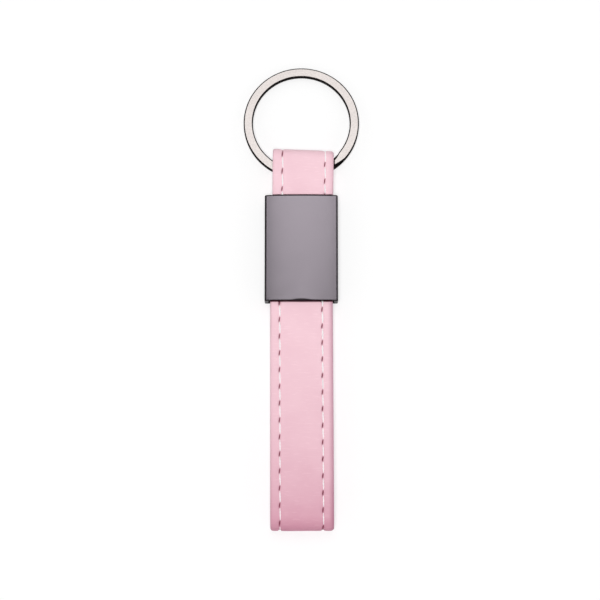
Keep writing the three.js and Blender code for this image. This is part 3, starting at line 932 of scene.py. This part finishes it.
def polyester_thread(seam):
    """Spun polyester sewing thread: white, matt, with a fuzz of fine fibres."""
    material, tree = new_material("spun_polyester_thread")
    place = add(tree, "ShaderNodeTexCoord").outputs["Object"]
    # Real fibres are a tenth as fine, and are drawn in bundles so that they show
    bundle = 0.12 * MM
    shaded = tuple(0.94 * c for c in seam.thread_colour)
    fibres = add(
        tree, "ShaderNodeTexNoise", {"Vector": place, "Scale": 1 / bundle, "Detail": 3.0}
    ).outputs["Fac"]
    tinted = add(
        tree, "ShaderNodeMix", {0: fibres, 6: (*seam.thread_colour, 1), 7: (*shaded, 1)}, data_type="RGBA"
    ).outputs[2]
    bump = add(
        tree, "ShaderNodeBump", {"Strength": 0.25, "Distance": 0.02 * MM, "Height": fibres}
    ).outputs["Normal"]
    shader = add(
        tree, "ShaderNodeBsdfPrincipled",
        {"Base Color": tinted, "Roughness": 0.6, "IOR": 1.5, "Sheen Weight": 1.0, "Normal": bump},
    ).outputs[0]
    add(tree, "ShaderNodeOutputMaterial", {"Surface": shader})
    return material


def plated_metal(name, face_colour, reflection_shade_colour, roughness, grit, speckle):
    """Plated metal, tumbled to a satin: soft broad reflections, with a painted dark reflection and shade
    on edges and walls.
    """
    material, tree = new_material(name)
    place = add(tree, "ShaderNodeTexCoord").outputs["Object"]
    reflection_shade = add(tree, "ShaderNodeAttribute", attribute_name="reflection_shade").outputs["Fac"]
    # Tumbling leaves pits far finer than the grit drawn here, which is as coarse as it needs to show
    cloud_size = 5 * MM
    uneven = 0.015
    dull = tuple((1 - speckle) * c for c in face_colour)
    bright = tuple((1 + speckle) * c for c in face_colour)
    tumbled = add(
        tree, "ShaderNodeTexNoise", {"Vector": place, "Scale": 1 / grit, "Detail": 4.0}
    ).outputs["Fac"]
    cloud = add(
        tree, "ShaderNodeTexNoise", {"Vector": place, "Scale": 1 / cloud_size, "Detail": 2.0}
    ).outputs["Fac"]
    face = add(
        tree, "ShaderNodeMix", {0: tumbled, 6: (*dull, 1), 7: (*bright, 1)}, data_type="RGBA"
    ).outputs[2]
    # The face colour, with painted dark reflection and shade on edges and walls
    plated = add(
        tree, "ShaderNodeMix", {0: reflection_shade, 6: face, 7: (*reflection_shade_colour, 1)}, data_type="RGBA"
    ).outputs[2]
    gloss = add(
        tree, "ShaderNodeMapRange",
        {"Value": cloud, "From Min": 0.3, "From Max": 0.7,
         "To Min": roughness - uneven, "To Max": roughness + uneven},
    ).outputs["Result"]
    bump = add(
        tree, "ShaderNodeBump", {"Strength": 0.2, "Distance": 0.004 * MM, "Height": tumbled}
    ).outputs["Normal"]
    # A grey specular tint dims reflections at grazing angles, which keeps the painted dark edges dark
    shader = add(
        tree, "ShaderNodeBsdfPrincipled",
        {"Base Color": plated, "Metallic": 1.0, "Roughness": gloss, "Specular Tint": (0.4, 0.4, 0.4, 1),
         "Normal": bump},
    ).outputs[0]
    add(tree, "ShaderNodeOutputMaterial", {"Surface": shader})
    return material


def white_card(stage):
    """Matt white card: no gloss, and a glow that only the eye and mirrors see, so its shadow is faint."""
    material, tree = new_material("matt_white_card")
    card = add(
        tree, "ShaderNodeBsdfPrincipled",
        {"Base Color": (*stage.floor_colour, 1), "Roughness": 0.95, "Specular IOR Level": 0.1},
    ).outputs[0]
    glow = add(tree, "ShaderNodeEmission", {"Color": (1, 1, 1, 1), "Strength": 1.0}).outputs[0]
    ray = add(tree, "ShaderNodeLightPath").outputs
    seen = add(
        tree, "ShaderNodeMath", {0: ray["Is Camera Ray"], 1: ray["Is Glossy Ray"]}, operation="ADD"
    ).outputs[0]
    seen = add(
        tree, "ShaderNodeMath", {0: seen, 1: ray["Is Transmission Ray"]}, operation="ADD", use_clamp=True
    ).outputs[0]
    share = add(tree, "ShaderNodeMath", {0: seen, 1: stage.floor_glow}, operation="MULTIPLY").outputs[0]
    lit = add(tree, "ShaderNodeMixShader", {0: share, 1: card, 2: glow}).outputs[0]
    add(tree, "ShaderNodeOutputMaterial", {"Surface": lit})
    return material


# Operators


def bends_with(piece, body, bend, slot, *nodes):
    """Bakes a piece of the strap where it stands and hides the solids that it replaces."""
    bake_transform(piece)
    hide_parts(*nodes)


class KEYCHAIN_OT_strap_loops(bpy.types.Operator):
    """Builds the face leather and the lining of the short and the long loop"""

    bl_idname = "keychain.strap_loops"
    bl_label = "Strap Loops"

    def execute(self, context):
        strap = context.scene.keychain_strap
        seam = context.scene.keychain_seam
        face = face_leather(strap)
        lining = lining_leather(strap)
        hanger = StrapLoop(strap, hanger_curves(strap), LEATHER_STEP, True)
        tail = StrapLoop(strap, tail_curves(strap), LEATHER_STEP, False)

        piece = face_piece("hanger_leather", strap, seam, hanger)
        piece.data.materials.append(face)
        bends_with(
            piece, "hanger_loop", UPPER_BEND, "face_leather",
            "hanger_face", "hanger_filler", "upper_end_face", "upper_end_filler",
        )

        piece = lining_piece("hanger_lining_leather", strap, seam, hanger)
        piece.data.materials.append(lining)
        bends_with(
            piece, "hanger_loop", UPPER_BEND, "lining_leather", "hanger_lining", "upper_end_lining"
        )

        piece = face_piece("tail_leather", strap, seam, tail)
        piece.data.materials.append(face)
        bends_with(
            piece, "tail_loop", LOWER_BEND, "face_leather", "tail_face", "tail_filler",
            "lower_end_face", "lower_end_filler", "front_run_face", "front_run_filler",
        )

        piece = lining_piece("tail_lining_leather", strap, seam, tail)
        piece.data.materials.append(lining)
        bends_with(
            piece, "tail_loop", LOWER_BEND, "lining_leather",
            "tail_lining", "lower_end_lining", "front_run_lining",
        )
        return {"FINISHED"}


class KEYCHAIN_OT_seams(bpy.types.Operator):
    """Sews both seams along each loop"""

    bl_idname = "keychain.seams"
    bl_label = "Seams"

    def execute(self, context):
        strap = context.scene.keychain_strap
        seam = context.scene.keychain_seam
        thread = polyester_thread(seam)
        tree = lockstitch_tree()
        hanger = StrapLoop(strap, hanger_curves(strap), THREAD_STEP, True)
        tail = StrapLoop(strap, tail_curves(strap), THREAD_STEP, False)

        path = seam_path("hanger_seam_lines", strap, seam, hanger)
        piece = seam_piece("hanger_seams", path, tree, seam, thread)
        bends_with(
            piece, "hanger_loop", UPPER_BEND, "thread",
            "hanger_needle_thread_left", "hanger_needle_thread_right",
            "hanger_bobbin_thread_left", "hanger_bobbin_thread_right",
        )

        path = seam_path("tail_seam_lines", strap, seam, tail)
        piece = seam_piece("tail_seams", path, tree, seam, thread)
        bends_with(
            piece, "tail_loop", LOWER_BEND, "thread",
            "tail_needle_thread_left", "tail_needle_thread_right",
            "tail_bobbin_thread_left", "tail_bobbin_thread_right",
        )
        return {"FINISHED"}


class KEYCHAIN_OT_sleeve(bpy.types.Operator):
    """Builds the plated sleeve that holds the strap"""

    bl_idname = "keychain.sleeve"
    bl_label = "Sleeve"

    def execute(self, context):
        sleeve = context.scene.keychain_sleeve
        piece = sleeve_piece("plated_sleeve", sleeve)
        metal = plated_metal(
            "gunmetal_plated_zinc", sleeve.face_colour, sleeve.reflection_shade_colour,
            roughness=0.21, grit=0.25 * MM, speckle=0.05,
        )
        piece.data.materials.append(metal)
        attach(piece, "sleeve")
        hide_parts("sleeve")
        return {"FINISHED"}


class KEYCHAIN_OT_ring(bpy.types.Operator):
    """Winds the flat split ring"""

    bl_idname = "keychain.ring"
    bl_label = "Split Ring"

    def execute(self, context):
        ring = context.scene.keychain_ring
        piece = ring_piece("flat_split_ring", ring)
        metal = plated_metal(
            "nickel_plated_steel", ring.face_colour, ring.reflection_shade_colour,
            roughness=0.3, grit=0.35 * MM, speckle=0.24,
        )
        piece.data.materials.append(metal)
        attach(piece, "key_ring")
        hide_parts("split_ring")
        return {"FINISHED"}


class KEYCHAIN_OT_stage(bpy.types.Operator):
    """Sets the floor, the light and the camera"""

    bl_idname = "keychain.stage"
    bl_label = "Stage"

    def execute(self, context):
        scene = context.scene
        stage = scene.keychain_stage
        scene.view_settings.view_transform = "Standard"

        reach, level = 4, -0.05 * MM
        corners = [(x * reach, y * reach, level) for x, y in ((-1, -1), (1, -1), (1, 1), (-1, 1))]
        card = bpy.data.meshes.new("card_floor")
        card.from_pydata(corners, [], [(0, 1, 2, 3)])
        card.materials.append(white_card(stage))
        placed("card_floor", card)

        world = bpy.data.worlds.new("studio_room")
        world.use_nodes = True
        tree = world.node_tree
        tree.nodes.clear()
        # Pale walls and a darker ceiling, so that the metals have something to mirror in low views
        side = add(tree, "ShaderNodeTexCoord").outputs["Generated"]
        height = add(tree, "ShaderNodeSeparateXYZ", {0: side}).outputs["Z"]
        glow = add(
            tree, "ShaderNodeMapRange",
            {"Value": height, "From Min": 0.6, "From Max": 0.82, "To Min": 0.52, "To Max": 0.12},
            interpolation_type="SMOOTHSTEP",
        ).outputs["Result"]
        room = add(tree, "ShaderNodeBackground", {"Color": (1, 1, 1, 1), "Strength": glow}).outputs[0]
        add(tree, "ShaderNodeOutputWorld", {"Surface": room})
        scene.world = world

        # A lamp's power in watts is pi times its area times its radiance
        aimed_at = Vector((0, -0.012, 0))
        for name, place, size, radiance in (
            ("key_softbox", (-0.08, -0.45, 2.2), (0.62, 0.62), 26.5),
            ("back_softbox", (0.02, 0.37, 0.9), (0.55, 0.5), 1.5),
        ):
            lamp = bpy.data.lights.new(name, "AREA")
            lamp.shape = "RECTANGLE"
            lamp.size, lamp.size_y = size
            lamp.energy = radiance * math.pi * size[0] * size[1]
            softbox = placed(name, lamp)
            softbox.location = place
            aim = aimed_at - softbox.location
            softbox.rotation_euler = aim.to_track_quat("-Z", "Y").to_euler()

        lens = bpy.data.cameras.new("camera")
        lens.sensor_width = 36
        lens.lens = lens.sensor_width * stage.distance / stage.view_width
        lens.clip_start = 0.01
        back = Vector((0, -math.cos(stage.elevation), math.sin(stage.elevation)))
        camera = placed("camera", lens)
        camera.location = Vector(stage.look_at) + back * stage.distance
        camera.rotation_euler = (-back).to_track_quat("-Z", "Y").to_euler()
        scene.camera = camera
        return {"FINISHED"}


class KEYCHAIN_PT_panel(bpy.types.Panel):
    """Lists the keychain's pieces"""

    bl_idname = "KEYCHAIN_PT_panel"
    bl_label = "Leather Strap Keychain"
    bl_space_type = "VIEW_3D"
    bl_region_type = "UI"
    bl_category = "Keychain"

    def draw(self, context):
        for operator, settings in (
            (KEYCHAIN_OT_strap_loops, context.scene.keychain_strap),
            (KEYCHAIN_OT_seams, context.scene.keychain_seam),
            (KEYCHAIN_OT_sleeve, context.scene.keychain_sleeve),
            (KEYCHAIN_OT_ring, context.scene.keychain_ring),
            (KEYCHAIN_OT_stage, context.scene.keychain_stage),
        ):
            box = self.layout.box()
            box.operator(operator.bl_idname)
            for key in settings.__annotations__:
                box.prop(settings, key)


SETTINGS = {
    "keychain_strap": StrapSettings,
    "keychain_seam": SeamSettings,
    "keychain_sleeve": SleeveSettings,
    "keychain_ring": RingSettings,
    "keychain_stage": StageSettings,
}
CLASSES = (
    *SETTINGS.values(),
    KEYCHAIN_OT_strap_loops,
    KEYCHAIN_OT_seams,
    KEYCHAIN_OT_sleeve,
    KEYCHAIN_OT_ring,
    KEYCHAIN_OT_stage,
    KEYCHAIN_PT_panel,
)


def register():
    for cls in CLASSES:
        bpy.utils.register_class(cls)
    for key, group in SETTINGS.items():
        setattr(bpy.types.Scene, key, bpy.props.PointerProperty(type=group))


def unregister():
    for key in SETTINGS:
        delattr(bpy.types.Scene, key)
    for cls in reversed(CLASSES):
        bpy.utils.unregister_class(cls)


def main():
    register()
    bpy.ops.keychain.strap_loops()
    bpy.ops.keychain.seams()
    bpy.ops.keychain.sleeve()
    bpy.ops.keychain.ring()
    bpy.ops.keychain.stage()


if __name__ == "__main__":
    main()
